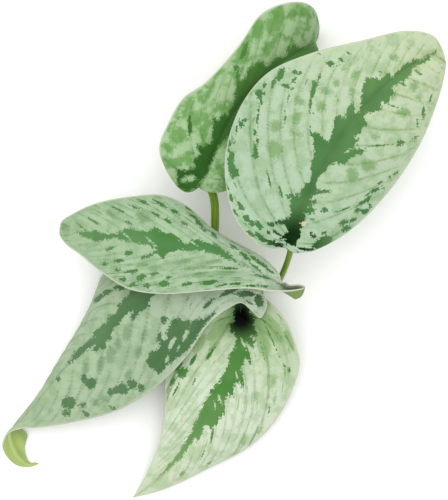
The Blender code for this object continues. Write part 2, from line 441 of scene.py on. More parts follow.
@dataclass(frozen=True)
class BladeFinish:
    """Colours of a blade's faces, as a screen shows them, and the strengths of its markings."""

    silver: str = "B9D0AC"
    cool: str = "AFCBAA"  # towards the base
    warm: str = "D4E0B6"  # towards the tip
    bright: str = "C6DAC4"  # painted highlight on the swellings between the veins
    mid: str = "82AA6A"  # blurred spots
    dark: str = "50824A"
    spine: str = "4A7045"  # the dark markings along the midrib
    dark_base_and_shade: str = "0E3606"  # the dark markings near the base, partly painted shade in the pocket there
    scar: str = "D9CFA8"
    rim: str = "D6DFC4"
    under: str = "B0C56E"
    rib: str = "C6D68E"  # veins of the underside
    blur: float = 0.035  # how soft the dark markings' edges are
    puffy: float = 0.5  # how clearly the painted highlight on the swellings shows
    cloudy: float = 0.35  # how strongly soft green clouds the silver
    grain: float = 0.12  # and how strongly the finest noise does
    spots: float = 0.8  # how strongly the blurred spots show
    feather: float = 0.4  # how far the dark markings' teeth are drawn out along the veins
    teeth: float = 0.8  # how far those teeth reach, in shares of EDGE_RAMP_MM
    nibble: float = 0.6  # and how far the finer ones do
    flecks: float = 0.72  # level of noise above which a stray fleck shows
    fleck_ramp: float = 0.06  # how soft its edge is
    fleck_depth: float = 0.6  # how dark it is
    hollow_shade: float = 0.0  # how much painted shade darkens the base outside the markings too
    fade: float = 0.4  # how much lighter the dark markings are at the tip
    roughness: float = 0.5
    under_roughness: float = 0.55
    relief: float = 0.0003  # height of the finest unevenness, m

    def upper(self, name: str, seed: float) -> bpy.types.Material:
        """The upper face: silver with dark patches that follow the veins.

        Args:
            name: the material's name.
            seed: makes its noise its own.

        Returns:
            The material.
        """
        s = Shader(name, self.roughness)
        veins, place = s.uv("Veins"), s.place()
        shift = (seed * 7.3, seed * 3.1, seed)
        broad = s.noise(place, BROAD, shift)
        cloud = s.noise(place, CLOUD, shift, 4.0, 0.6)
        edge = s.blend(self.feather, s.noise(place, RAGGED, shift, 3.0, 0.6),
                       s.noise(veins, TEETH, shift, 3.0, 0.6))
        fine = s.noise(place, FINE, shift, 2.0, 0.6)
        fleck = s.noise(veins, FLECK, (seed * 2.7 + 40, seed, 3), 2.0, 0.45)

        silver = s.mix(s.value("base"), self.silver, self.cool)
        silver = s.mix(s.value("tip"), silver, self.warm)
        # painted highlight on the swellings between the veins
        silver = s.mix(s.times(s.value("puff"), self.puffy), silver, self.bright)
        silver = s.mix(s.times(s.ease(cloud, 0.45, 0.6), self.cloudy), silver, self.mid)
        silver = s.mix(s.times(s.ease(fine, 0.45, 0.7), self.grain), silver, self.mid)

        soft = s.plus(s.plus(s.value("soft"), s.sway(fine, 0.7)), s.sway(edge, 0.5))
        colour = s.mix(s.times(s.ease(soft, 0.3, 0.7), self.spots), silver, self.mid)

        jag = s.plus(s.sway(edge, self.teeth), s.sway(fine, self.nibble))
        firm = s.ease(s.plus(s.value("dark"), jag), 0.5 - self.blur, 0.5 + self.blur)
        stray = s.plus(s.plus(fleck, s.sway(edge, 0.7)), s.times(s.value("fringe"), 0.06))
        stray = s.times(s.ease(stray, self.flecks, self.flecks + self.fleck_ramp), self.fleck_depth)
        deep = s.mix(s.times(s.value("spine"), 0.6), self.dark, self.spine)
        paler = s.plus(s.times(s.ease(broad, 0.4, 0.6), 0.15), s.times(s.value("tip"), self.fade))
        # near the base the dark markings take the darkest green, which is partly painted shade
        deep = s.mix(s.value("dark_base_and_shade"), s.mix(paler, deep, self.mid), self.dark_base_and_shade)
        # painted shade darkens the base outside the markings too
        colour = s.mix(s.times(s.value("dark_base_and_shade"), self.hollow_shade), colour, self.dark)
        colour = s.mix(s.math("MAXIMUM", firm, stray), colour, deep)

        line = s.times(s.value("line"), s.plus(s.times(s.ease(edge, 0.42, 0.58), 0.5), 0.15))
        colour = s.mix(line, colour, deep)
        colour = s.mix(s.ease(s.plus(s.value("scar"), jag), 0.5, 0.56), colour, self.scar)
        # near the base the pale rim gives way to the darkest green and its painted shade
        bare = s.math("SUBTRACT", 1.0, s.value("dark_base_and_shade"))
        s.bump(s.plus(fine, edge), 0.2, self.relief)
        return s.painted(s.mix(s.times(s.value("rimmed"), bare), colour, self.rim))

    def below(self, name: str, seed: float) -> bpy.types.Material:
        """The underside: plain yellow-green with paler veins, and the darkest green near the base, partly
        painted shade.

        Args:
            name: the material's name.
            seed: makes its noise its own.

        Returns:
            The material.
        """
        s = Shader(name, self.under_roughness)
        broad = s.noise(s.uv("Veins"), DAPPLE, (seed, seed, seed), 3.0)
        colour = s.mix(s.times(s.ease(broad, 0.35, 0.7), 0.6), self.under, self.mid)
        colour = s.mix(s.times(s.value("line"), 0.5), colour, self.rib)
        return s.painted(s.mix(s.value("dark_base_and_shade"), colour, self.dark_base_and_shade))

    def edge(self, name: str) -> bpy.types.Material:
        """The pale rim, which takes the darkest green near the base, partly painted shade."""
        s = Shader(name, self.roughness)
        return s.painted(s.mix(s.value("dark_base_and_shade"), self.rim, self.dark_base_and_shade))


@dataclass
class Blade:
    """One leaf blade with its midrib, side veins and markings. Its sizes are millimetres."""

    plan: BladePlan
    finish: BladeFinish = field(default_factory=BladeFinish)
    swell: float = 0.22  # how far it rises between two side veins
    sink: float = 0.1  # how far a side vein sinks
    vein_wide: float = 0.12  # its half width, as a share of half the distance to the next
    groove: float = 0.4  # depth of the groove over the midrib
    groove_wide: float = 0.9  # its half width
    rib_wide: float = 1.1  # half width of the midrib underneath
    side_rib: float = 0.25  # thickness of a side vein underneath, as a share of the midrib's

    def half(self, side: Half) -> tuple[Array, Array]:
        """One half's net.

        Args:
            side: which half.

        Returns:
            Its points, by rows from base to tip and columns from midrib to margin, and each row's length.
        """
        plan = self.plan
        midrib = smooth_line(plan.midrib, ROWS)
        edge = smooth_line((plan.sinus, *(plan.left, plan.right)[side], plan.midrib[-1]), 2 * ROWS)
        w = np.linspace(0, 1, ROWS + 1)
        g = past_lobe(w)
        lobe = plan.lobe[side]
        t = np.where(w < LOBE_SHARE, lobe * w / LOBE_SHARE, lobe + (1 - lobe) * g)
        foot, rim = at(midrib, g), at(edge, t)
        ahead = at(midrib, np.minimum(1, g + AIM)) - at(midrib, np.maximum(0, g - AIM))
        out = rim - foot
        up = unit(np.cross(ahead, out) if side is Half.LEFT else np.cross(out, ahead))
        reach = np.linalg.norm(out, axis=1)
        opened = np.sqrt(np.sin(np.pi * np.minimum(0.5, 2.2 * t)))  # from 0 at the sinus to 1 beyond the lobe
        rise = plan.bulge[side] * opened * np.minimum(1, reach / FULL_WIDTH_MM)
        belly = up * rise[:, None]
        for which, place, spread, move in plan.rolls:
            if which is side:
                belly = belly + bell(w - place, spread)[:, None] * np.array(move)
        belly[0] = 0
        r = np.linspace(0, 1, COLUMNS + 1)
        flat = foot[:, None] + out[:, None] * r[None, :, None]
        return flat + belly[:, None] * np.sin(np.pi * r)[None, :, None], reach

    def net(self) -> dict[str, Array]:
        """The whole upper face.

        Returns:
            Its points, their shares of the rows (w) and of the way from midrib to margin (r), the share of
            the rows at which their side vein starts (vein), and their distances from the midrib (along),
            across the veins (across) and from the margin (inset).
        """
        (left, reach_l), (right, reach_r) = self.half(Half.LEFT), self.half(Half.RIGHT)
        points = np.concatenate([left[:, ::-1], right[:, 1:]], axis=1)
        w = np.linspace(0, 1, ROWS + 1)[:, None]
        r = np.concatenate([np.linspace(-1, 0, COLUMNS + 1), np.linspace(0, 1, COLUMNS + 1)[1:]])[None, :]
        reach = np.where(r < 0, reach_l[:, None], reach_r[:, None])
        gone = []
        for half in (left, right):
            middle = half[:, COLUMNS // 2]
            gone.append(np.concatenate([[0], np.cumsum(np.linalg.norm(np.diff(middle, axis=0), axis=1))]))
        # Near the base and the tip the side veins run less far ahead than midway.
        lead = self.plan.lead * (0.3 + 0.7 * step(w, 0.1, 0.42)) * (1 - step(w, 0.6, 1.1))
        vein = w - lead * np.abs(r) ** self.plan.sweep
        across = np.where(r < 0, np.interp(vein, w[:, 0], gone[0]), np.interp(vein, w[:, 0], gone[1]))
        return dict(points=points, w=np.broadcast_to(w, across.shape), r=np.broadcast_to(r, across.shape),
                    vein=vein, along=r * reach, across=across, inset=(1 - np.abs(r)) * reach)

    def relief(self, net: dict[str, Array]) -> tuple[Array, Array]:
        """Sinks the veins and swells the blade between them.

        Args:
            net: the upper face.

        Returns:
            The moved points, and how near each one is to the middle of a side vein.
        """
        points, w, along, across = (net[k] for k in ("points", "w", "along", "across"))
        normal = unit(np.cross(np.gradient(points, axis=1), np.gradient(points, axis=0)))
        g = past_lobe(w)
        phase = on_vein(across)
        # The relief fades out towards the midrib, the margin and the tip.
        away = step(np.abs(along), 1.0, 5.0) * step(net["inset"], 0.3, 5.0) * step(1 - w, 0.02, 0.12)
        line = bell(1 - phase, self.vein_wide)
        height = away * (self.swell * (1 - phase) ** 0.7 - self.sink * line)
        height = height - self.groove * step(g, 0.0, 0.12) * (1 - 0.8 * g) * bell(along, self.groove_wide)
        moved = points + normal * height[..., None]
        moved[..., 2] = np.maximum(moved[..., 2], FLOOR_MM)
        return moved, line * away

    def patch(self, net: dict[str, Array], seen: Array, patch: Patch) -> Array:
        """How strongly each point lies in a patch.

        Args:
            net: the upper face.
            seen: its points as the camera sees them.
            patch: the patch.

        Returns:
            0.5 on its edge, more inside and less outside.
        """
        offset = seen - np.array([patch.x, patch.y])
        i, j = np.unravel_index(np.argmin(np.linalg.norm(offset, axis=-1)), offset.shape[:2])
        i, j = min(max(i, 1), ROWS - 1), min(max(j, 1), 2 * COLUMNS - 1)
        ahead, aside = seen[i + 1, j] - seen[i - 1, j], seen[i, j + 1] - seen[i, j - 1]
        vein = net["vein"]
        slope = (vein[i, j + 1] - vein[i, j - 1]) / (vein[i + 1, j] - vein[i - 1, j])
        way = unit(aside - ahead * slope)  # along the vein through the patch's middle
        long = offset @ way / patch.long
        wide = (offset[..., 1] * way[0] - offset[..., 0] * way[1]) / patch.wide
        strength = (1 - np.hypot(long, wide)) * math.sqrt(patch.long * patch.wide)
        other_half = net["r"] * net["r"][i, j] < -0.01
        return np.where(other_half, 0.0, np.clip(0.5 + strength / EDGE_RAMP_MM, 0, 1))

    def markings(self, net: dict[str, Array]) -> dict[str, Array]:
        """Each kind of marking at each point.

        Args:
            net: the upper face.

        Returns:
            The dark, soft and scar markings, 0.5 on their edges, and how near the dark base is, where the
            darkest green and painted shade go.
        """
        seen = seen_from_above(net["points"])
        found = {tint: np.zeros(net["w"].shape) for tint in Tint}
        for outline in self.plan.zones:
            zone = np.clip(0.5 + depth_inside(seen, outline) / EDGE_RAMP_MM, 0, 1)
            found[Tint.DARK] = np.maximum(found[Tint.DARK], zone)
        for patch in self.plan.patches:
            found[patch.tint] = np.maximum(found[patch.tint], self.patch(net, seen, patch))
        dark = np.minimum(found[Tint.DARK], 1 - found[Tint.PALE])
        # nearness to the base, where the darkest green and painted shade go
        far = np.linalg.norm(net["points"] - net["points"][0, COLUMNS], axis=-1)
        dark_base_and_shade = 1 - step(far, 0.2 * self.plan.dark_base_and_shade_reach, self.plan.dark_base_and_shade_reach)
        return dict(dark=dark, soft=found[Tint.SOFT], scar=found[Tint.SCAR], dark_base_and_shade=dark_base_and_shade)

    def build(self) -> bpy.types.Object:
        """Makes the blade, with its markings stored on it.

        Returns:
            The finished object.
        """
        net, name, seed = self.net(), self.plan.name, self.plan.seed
        moved, line = self.relief(net)
        w, along, inset = net["w"], net["along"], net["inset"]
        made = net_object(name + "_leaf", moved)
        mesh = made.data
        add_values(
            mesh,
            **self.markings(net),
            base=1 - step(w, 0.3, 0.65),
            tip=step(w, 0.5, 1.0),
            fringe=1 - step(inset, 3, 11),
            # where the painted highlight goes: midway between the side veins
            puff=(1 - on_vein(net["across"])) * step(np.abs(along), 1.0, 6.0),
            line=np.maximum(line, bell(along, 0.6)),
            rimmed=1 - step(inset, 0.25, 0.7),
            spine=bell(along, 2.2),
        )
        add_uv(mesh, "Veins", net["across"], along)
        group = made.vertex_groups.new(name="ribs")
        g = past_lobe(w)  # the ribs underneath thin out towards the tip
        ribs = (bell(along, self.rib_wide) * (1 - 0.85 * g) + self.side_rib * line * (1 - g)).reshape(-1)
        for index in np.nonzero(ribs > 0.02)[0]:
            group.add([int(index)], float(min(1.0, ribs[index])), "REPLACE")
        join_points()
        bpy.ops.object.mode_set(mode="OBJECT")
        for slot in (self.finish.upper(name + "_upper", seed), self.finish.below(name + "_under", seed),
                     self.finish.edge(name + "_rim")):
            mesh.materials.append(slot)
        shell = made.modifiers.new("thickness", "SOLIDIFY")
        shell.thickness = MIDRIB_T * MM
        shell.offset = -1.0
        shell.vertex_group = group.name
        shell.thickness_vertex_group = BLADE_T / MIDRIB_T
        shell.material_offset = int(Face.UNDER)
        shell.material_offset_rim = int(Face.RIM)
        bpy.ops.object.modifier_apply(modifier=shell.name)
        low = np.empty(len(mesh.vertices) * 3, np.float32)
        mesh.vertices.foreach_get("co", low)
        low[2::3] = np.maximum(low[2::3], 0.0)
        mesh.vertices.foreach_set("co", low)
        mesh.update()
        bpy.ops.object.shade_smooth()
        return made


@dataclass(frozen=True)
class StalkFinish:
    """Colours of a petiole or the stem, as a screen shows them."""

    bright: str = "8CAC38"
    shade: str = "5C8818"
    joint: str = "A8BC58"
    roughness: float = 0.42
    gloss: float = 0.3
    relief: float = 0.0002  # height of the streaks, m

    def skin(self, name: str, seed: float) -> bpy.types.Material:
        """Glossy green skin with faint lengthwise streaks.

        Args:
            name: the material's name.
            seed: makes its noise its own.

        Returns:
            The material.
        """
        s = Shader(name, self.roughness, self.gloss)
        streak = s.noise(s.uv("Round"), STREAK, (seed, seed, seed), 3.0)
        spot = s.noise(s.place(), SPECKLE, (seed, 0, 0))
        colour = s.mix(s.ease(streak, 0.35, 0.65), self.bright, self.shade)
        colour = s.mix(s.times(s.ease(spot, 0.55, 0.75), 0.25), colour, self.joint)
        s.bump(streak, 0.2, self.relief)
        return s.painted(s.mix(s.value("joint"), colour, self.joint))


def tube_net(line: Array, radius: Array, sides: int, dent: Array | None = None) -> tuple[Array, Array]:
    """A net round a line.

    Args:
        line: points down its middle, mm.
        radius: at each of them.
        sides: points round it.
        dent: how deep a channel runs along its upper side at each point, mm.

    Returns:
        Rows by columns of points, the last column on the first, and each column's angle.
    """
    ahead = unit(np.gradient(line, axis=0))
    side = np.cross(ahead[0], np.array([0.0, 0.0, 1.0]))
    turn = np.linspace(0, 2 * np.pi, sides + 1)
    rows = []
    for i, (p, a) in enumerate(zip(line, ahead)):
        side = unit(side - a * side.dot(a))
        top = np.cross(side, a)
        size = np.full(sides + 1, radius[i])
        if dent is not None:
            size = size - dent[i] * bell(turn - np.pi / 2, CHANNEL_WIDE)
        rows.append(p + (np.cos(turn)[:, None] * side + np.sin(turn)[:, None] * top) * size[:, None])
    return np.array(rows), turn


def tube(name: str, net: Array, turn: Array, span: Array, joint: Array,
         skin: bpy.types.Material) -> bpy.types.Object:
    """A closed and smooth tube.

    Args:
        name: the object's name.
        net: rows by columns of points, the last column on the first, mm.
        turn: each column's angle.
        span: each row's distance along the tube, mm.
        joint: how much each row has a joint's colour.
        skin: its material.

    Returns:
        The finished object.
    """
    made, shape = net_object(name, net), net.shape[:2]
    add_uv(made.data, "Round", np.broadcast_to(turn[None], shape), np.broadcast_to(span[:, None], shape))
    add_values(made.data, joint=np.broadcast_to(joint[:, None], shape))
    join_points()
    bpy.ops.mesh.select_all(action="DESELECT")
    bpy.ops.mesh.select_non_manifold()
    bpy.ops.mesh.fill_holes(sides=0)
    bpy.ops.mesh.select_all(action="SELECT")
    bpy.ops.mesh.normals_make_consistent(inside=False)
    bpy.ops.object.mode_set(mode="OBJECT")
    made.data.materials.append(skin)
    bpy.ops.object.shade_smooth_by_angle(angle=HARD_EDGE)
    return made


@dataclass
class Petiole:
    """A leaf stalk, from its sheath on the stem to the joint under its blade."""

    name: str
    radius: float
    points: tuple[Point, ...]
    carries: BladePlan
    seed: float
    finish: StalkFinish = field(default_factory=StalkFinish)
    rings: int = 90
    sides: int = 28
    foot: float = 0.25  # share of its length that swells towards the stem
    foot_swell: float = 0.3  # in shares of its radius, as are the next ones
    joint_swell: float = 0.14
    channel: float = 0.16  # depth of the channel along its upper side
    joint_mm: float = 2.6  # length of the joint under the blade

    def top(self) -> Point:
        """Its upper end.

        Returns:
            The point at which it presses against the underside of the blade, at the base of the midrib.
        """
        plan = self.carries
        base = np.array(plan.midrib[0])
        ahead = np.array(plan.midrib[1]) - base
        margins = []
        for share, margin in zip(plan.lobe, (plan.left, plan.right)):
            margins.append(at(smooth_line((plan.sinus, *margin), 100), np.array(share)) - base)
        up = unit(unit(np.cross(ahead, margins[0])) + unit(np.cross(margins[1], ahead)))
        come = unit(base - np.array(self.points[-1]))
        slant = math.sqrt(max(0.0, 1 - float(come @ up) ** 2))
        end = base - up * (0.9 * MIDRIB_T + 1.1 * self.radius * slant)  # its rim just touches the midrib
        return float(end[0]), float(end[1]), float(end[2])

    def build(self) -> bpy.types.Object:
        """Makes the stalk.

        Returns:
            The finished object.
        """
        line = smooth_line((*self.points, self.top()), self.rings)
        s = np.linspace(0, 1, self.rings + 1)
        length = np.linalg.norm(np.diff(line, axis=0), axis=1).sum()
        foot = np.maximum(0, 1 - s / self.foot) ** 2
        joint = bell((1 - s) * length, self.joint_mm)
        radius = self.radius * (1 + self.foot_swell * foot + self.joint_swell * joint)
        net, turn = tube_net(line, radius, self.sides, self.channel * self.radius * step(s, 0.05, 0.3))
        skin = self.finish.skin(self.name + "_skin", self.seed)
        return tube(self.name + "_stalk", net, turn, s * length, 0.55 * joint + 0.35 * foot, skin)


@dataclass
class Stem:
    """The short piece of vine that carries the leaves."""

    line: tuple[Point, ...] = ((-34.5, -8, 2.05), (-21.5, -9.5, 2.05), (-9, -10.5, 2.05), (5, -11, 2.05),
                               (14.5, -11, 2.05))
    nodes: tuple[float, ...] = (-20.0, -11.0, -1.0, 7.0, 13.5)
    radius: float = 2.5
    finish: StalkFinish = StalkFinish(bright="8FA556", shade="66843A", joint="B4A976", roughness=0.5)
    rings: int = 260
    sides: int = 40
    knot: float = 0.35  # how far a node swells
    knot_wide: float = 1.3  # its half length
    scar: float = 0.14  # depth of the sheath's scar beside it
    scar_wide: float = 0.28
    scar_ahead: float = 1.1  # distance from the node to its scar
    length: float = 50.0  # rough length, for the streaks

    def build(self) -> bpy.types.Object:
        """Makes the stem.

        Returns:
            The finished object.
        """
        line = smooth_line(self.line, self.rings)
        s = np.linspace(0, 1, self.rings + 1)
        knot, scar = np.zeros(self.rings + 1), np.zeros(self.rings + 1)
        for x in self.nodes:
            knot = np.maximum(knot, bell(line[:, 0] - x, self.knot_wide))
            scar = np.maximum(scar, bell(line[:, 0] - x - self.scar_ahead, self.scar_wide))
        end = np.maximum(0, (s - 0.95) / 0.05)  # rises over the last twentieth, where the vine is cut
        radius = (self.radius + self.knot * knot - self.scar * scar) * (1 - 0.3 * end * end)
        net, turn = tube_net(line, radius, self.sides)
        net[..., 2] = np.maximum(net[..., 2], 0)
        joint = np.clip(0.3 * knot + 0.7 * scar, 0, 1)
        return tube("stem_vine", net, turn, s * self.length, joint, self.finish.skin("stem_skin", 5.0))


@dataclass
class Studio:
    """Floor, lights and camera."""

    floor_tone: float = 0.93
    floor_size: float = 6.0
    sensor_mm: float = 36.0

    def floor(self) -> None:
        """A plain pale floor."""
        deselect()
        bpy.ops.mesh.primitive_plane_add(size=self.floor_size, location=(0, 0, 0))
        made = bpy.context.object
        made.name = "floor"
        s = Shader("floor", roughness=0.9)
        s.surface.inputs["Base Color"].default_value = (*(self.floor_tone,) * 3, 1.0)
        made.data.materials.append(s.material)

    def lamp(self, name: str, place: Point, size: float, power: float) -> None:
        """A soft square lamp that faces the spray.

        Args:
            name: its name.
            place: where it hangs, m.
            size: its side, m.
            power: in watts.
        """
        deselect()
        bpy.ops.object.light_add(type="AREA", location=place)
        made = bpy.context.object
        made.name = name
        made.data.size = size
        made.data.energy = power
        made.rotation_euler = (-Vector(place)).to_track_quat("-Z", "Y").to_euler()

    def sky(self, strength: float) -> None:
        """Even light from all round.

        Args:
            strength: of the light.
        """
        world = bpy.data.worlds.new("studio")
        world.use_nodes = True
        back = world.node_tree.nodes["Background"]
        back.inputs["Color"].default_value = (1, 1, 1, 1)
        back.inputs["Strength"].default_value = strength
        bpy.context.scene.world = world

    def camera(self) -> None:
        """Looks straight down, as the photograph does."""
        deselect()
        bpy.ops.object.camera_add(location=(-PLAN_X * MM, -PLAN_Y * MM, EYE_MM * MM), rotation=(0, 0, 0))
        made = bpy.context.object
        made.data.sensor_width = self.sensor_mm
        made.data.lens = self.sensor_mm * (EYE_MM - PHOTO_LEVEL_MM) / (PHOTO_ROWS * PHOTO_MM)
        made.data.clip_start = 0.01
        bpy.context.scene.camera = made

    def build(self) -> None:
        """Sets up the whole studio."""
        self.floor()
        self.lamp("key", place=(-0.2, 0.28, 1.25), size=1.6, power=14.0)
        self.lamp("fill", place=(0.6, -0.5, 1.0), size=1.4, power=3.0)
        self.sky(strength=0.85)
        self.camera()
        bpy.context.scene.view_settings.view_transform = "Standard"


BACK = BladePlan(
    name="blade_1",
    sinus=(-8.8, 22.3, 26.0),
    midrib=((-7, 26, 27), (-3, 35.5, 27), (2, 46, 27.5), (8.5, 55.5, 27), (17, 64, 24.5), (25.5, 70.5, 19),
            (31.5, 74.5, 11), (33.8, 76.5, 3.5), (33, 78.5, 0.8)),
    left=((-9.5, 22, 26.5), (-13, 20.5, 25), (-17, 23, 24), (-23, 35.5, 28), (-20, 45, 26.5),
          (-14.5, 54.5, 25), (-7, 59.5, 27), (5, 72.5, 28), (13.5, 84.5, 26.5), (23.5, 89, 22),
          (31, 89, 14.5), (34.5, 85, 6), (34, 80.5, 2)),
    right=((-8, 21.5, 25), (-4, 20.5, 25), (1.5, 21.5, 25), (13.5, 31.5, 24), (21, 42.5, 22),
           (27.5, 52, 20), (32.5, 63.5, 15), (34.8, 72.5, 6)),
    lobe=(0.22, 0.3),
    bulge=(2.0, 1.5),
    zones=(
        ((-17.3, 28.8), (-13, 28.8), (-10.8, 29.9), (-11.2, 32.8), (-8.6, 34.6), (-10.1, 38.5), (-7.6, 37.4),
         (-5, 38.5), (-4, 43.9), (-4.3, 49), (-1.8, 46.8), (0, 49.7), (1.4, 49), (3.2, 52.6), (4.3, 57),
         (4.3, 64), (3.6, 66.2), (5.4, 65.9), (5.8, 61.2), (8, 62), (9, 65.5), (13, 67.7), (15.5, 66.2),
         (19.1, 69.8), (22, 69.1), (23, 72.7), (24.8, 74), (28, 73), (32, 74), (35, 72), (30, 68), (15.5, 59),
         (6.8, 49), (1.8, 41), (-1.8, 37.4), (-4, 32.4), (-5.4, 28), (-8, 25.2), (-9.4, 22), (-14, 21),
         (-16.5, 23)),
    ),
    patches=(
        *marks(Tint.DARK, (-12.3, 44.6, 4, 0.7), (7.2, 71.5, 3, 1)),
        *marks(Tint.SOFT, (-12.5, 52.4, 2.8, 1.8), (-18.2, 41, 2.2, 1.4), (-20, 36.5, 2.4, 1.2),
               (-15.5, 40.2, 1.4, 0.8), (-4.7, 58.5, 3, 1.2), (-7, 42, 2, 1.4), (6.8, 70.6, 4.5, 2.4),
               (12.2, 78.5, 3, 2), (17.6, 80.8, 3.5, 3), (19.5, 85, 3, 2.4), (28.4, 85.7, 2, 2),
               (25, 85.5, 2, 1.5), (12, 64.5, 4, 3), (26.5, 79, 3, 0.8), (-10.5, 47, 3, 2)),
        *marks(Tint.PALE, (-12, 26, 1.8, 1.2), (-14.5, 25, 1.2, 0.8), (-7, 24.5, 1.5, 0.8), (-1.5, 33, 2, 1),
               (0, 36, 1.5, 0.8)),
    ),
    # the darkest green reaches far along the valley, partly as painted shade cast by blade_5
    dark_base_and_shade_reach=30.0,
    seed=1.0,
)
FRONT = BladePlan(
    name="blade_2",
    sinus=(6.2, -18.6, 13.5),
    midrib=((6, -24.5, 11), (5.5, -30, 12.5), (3.5, -39, 14), (0.5, -47, 14.5), (-4.5, -57, 14),
            (-10, -66.5, 12), (-17, -76, 8.5), (-24.5, -84.5, 4), (-33.5, -91.5, 0.8)),
    left=((9.5, -18, 15), (14, -17.3, 17.6), (18, -20.5, 18.5), (23, -27, 17), (26, -35, 14.5),
          (27.5, -41.5, 12), (25, -51, 8.5), (18.5, -63, 5.5), (9, -72.5, 4), (-5, -80, 3.2),
          (-21.5, -88, 2)),
    right=((3, -18.6, 15), (-2, -19.2, 17), (-8.5, -24, 17.5), (-14.5, -30.5, 16.5), (-19, -39, 14.5),
           (-21.5, -48, 12.5), (-21.5, -56.5, 11.5), (-23.5, -70, 9.5), (-28.5, -82, 5.5)),
    lobe=(0.3, 0.35),
    bulge=(1.5, 1.5),
    zones=(
        ((4, -18), (3.2, -23), (3.4, -26), (1.8, -27), (2.4, -29.5), (4.2, -31), (4.3, -33.5), (3.2, -36),
         (1.5, -38.3), (1.8, -40.5), (0.2, -44.4), (-1.6, -47.2), (-4.6, -50.2), (-5.6, -52.6), (-7.4, -55.3),
         (-8.6, -58.6), (-10.4, -61.9), (-11.7, -65.5), (-13.6, -68.4), (-15.6, -71.8), (-18.2, -75.4),
         (-20.6, -78.4), (-22.8, -81), (-19, -78), (-15.1, -74.8), (-13, -71.3), (-10.1, -67.7), (-9.4, -70),
         (-8.1, -66.2), (-6.6, -63.2), (-4.6, -64.6), (-2.3, -62.8), (-1.1, -59.9), (0.4, -58.8),
         (0.6, -54.4), (1.6, -51.6), (3.4, -53), (4, -48.2), (5.4, -47.4), (7.4, -51.6), (6.9, -46.2),
         (6.4, -42.6), (7.6, -38.4), (9.6, -41), (9.2, -36.4), (8.2, -33.4), (10.6, -35.6), (11, -32.6),
         (9.6, -30.8), (12.2, -31.4), (12, -28.8), (10.6, -27.2), (11.6, -25), (9.4, -22), (8.6, -18)),
    ),
    patches=(
        *marks(Tint.DARK, (-14.9, -44.1, 2, 1.5), (-16, -41.8, 1.4, 0.6), (-11.2, -39.7, 1.9, 0.7),
               (-5.2, -37.8, 1.8, 0.6), (-4.4, -36.6, 1.6, 0.4), (-17.4, -50.4, 2.5, 0.4),
               (-18.5, -47.5, 1.2, 0.6), (-10.6, -47.4, 1.2, 0.4), (16.2, -57.5, 1.6, 0.35),
               (22, -42.2, 1, 0.4), (23.6, -43.4, 1, 0.4), (-7.6, -73.4, 1.5, 0.4), (-5.4, -76.7, 1.3, 0.4),
               (-15, -80.3, 1.2, 0.5), (-4.3, -66.8, 2.4, 0.6), (17.2, -32, 6, 0.25), (13.8, -36, 4, 0.2)),
        *marks(Tint.SOFT, (11.5, -53, 2, 0.6), (18.2, -53.6, 1.9, 0.6), (17.9, -46.9, 1.9, 1),
               (6.5, -68.7, 2.8, 1), (4, -73.2, 2, 0.8), (13, -64.8, 2, 0.5), (16, -27.5, 8, 3.4),
               (14, -33.5, 6, 2.4), (23.5, -32.4, 4, 1.2), (-3, -29, 5, 2.2), (-8.5, -33.5, 4, 1.6),
               (-2.6, -33, 4, 0.8)),
        *marks(Tint.PALE, (-3, -56, 1.2, 0.4), (-1.8, -53.5, 1.5, 0.4), (7, -33.8, 2, 0.5),
               (4.6, -45.5, 1.6, 0.3)),
        *marks(Tint.SCAR, (-15.2, -61.5, 0.9, 0.5), (2.2, -32.6, 0.8, 0.6)),
    ),
    lead=0.36,
    sweep=1.4,
    dark_base_and_shade_reach=11.5,
    seed=2.0,
)
